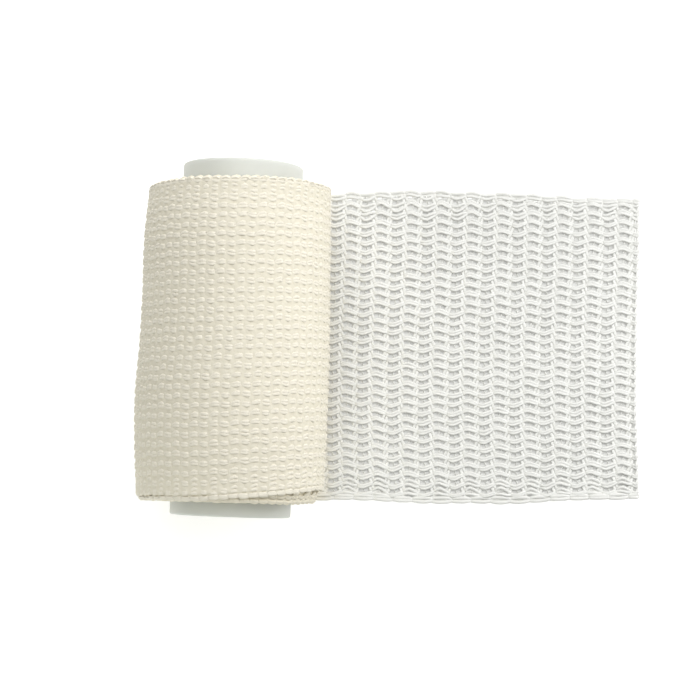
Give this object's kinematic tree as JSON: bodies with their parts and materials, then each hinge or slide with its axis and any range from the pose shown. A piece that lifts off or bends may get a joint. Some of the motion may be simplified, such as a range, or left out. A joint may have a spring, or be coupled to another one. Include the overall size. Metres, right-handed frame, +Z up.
{
  "type": "casting tape roll",
  "caption": "Roll of open-knit casting tape on a hollow plastic core, lying on its side with its free end drawn out flat from under it.",
  "frame": {"origin": "on the surface that the roll lies on, under the middle of the whole object's box", "axes": "+Z up; +X the way the free end is drawn out; +Y along the roll's axis, which leans 2 degrees towards +X at its +Y end"},
  "size_m": [0.1228, 0.0834, 0.0458],
  "materials": {
    "core_plastic": "pale, slightly see-through moulded polyethylene with a soft satin surface",
    "knitted_tape": "open warp knit of cream-white glass or polyester yarn, evenly coated with resin"
  },
  "bodies": {
    "root": {"core": "core_plastic", "wound_tape": "knitted_tape", "loose_end": "knitted_tape"}
  },
  "joints": []
}
